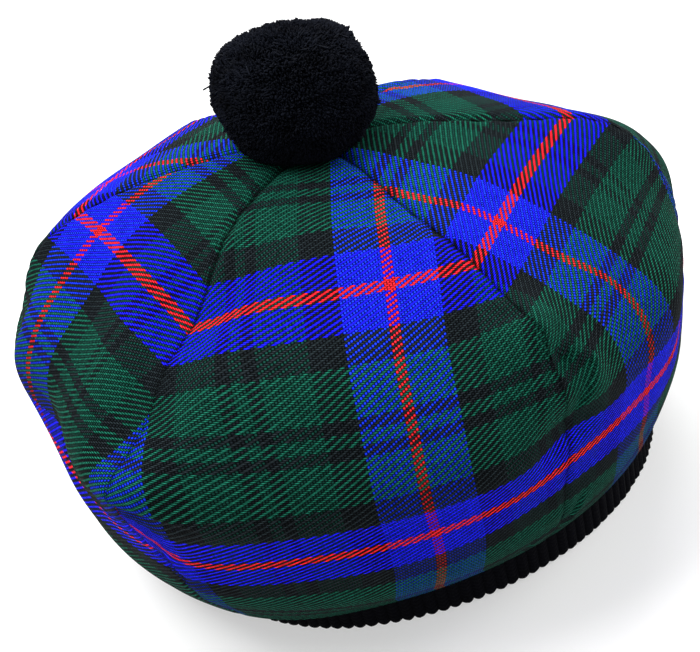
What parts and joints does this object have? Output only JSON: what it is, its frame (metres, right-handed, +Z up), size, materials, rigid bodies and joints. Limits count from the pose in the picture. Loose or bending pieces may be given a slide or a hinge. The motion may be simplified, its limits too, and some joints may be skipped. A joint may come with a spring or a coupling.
{
  "type": "tam o shanter",
  "caption": "Soft round tartan cap sewn from wedge gores, with a yarn pompom on the crown and a ribbed knitted band round the head opening.",
  "frame": {"origin": "on the surface that the hat stands on, under the middle of its outline", "axes": "+Z up through the pompom, -Y towards the front of the hat, +X to the right seen from the front"},
  "size_m": [0.2216, 0.2465, 0.1783],
  "materials": {
    "tartan": "twill-woven wool in blue, green and black with narrow red lines",
    "pompom_yarn": "cut black wool yarn",
    "band_knit": "black rib-knitted wool"
  },
  "bodies": {
    "root": {"gore_1": "tartan", "gore_2": "tartan", "gore_3": "tartan", "gore_4": "tartan", "gore_5": "tartan", "gore_6": "tartan", "pompom": "pompom_yarn", "rib_band": "band_knit"}
  },
  "joints": []
}
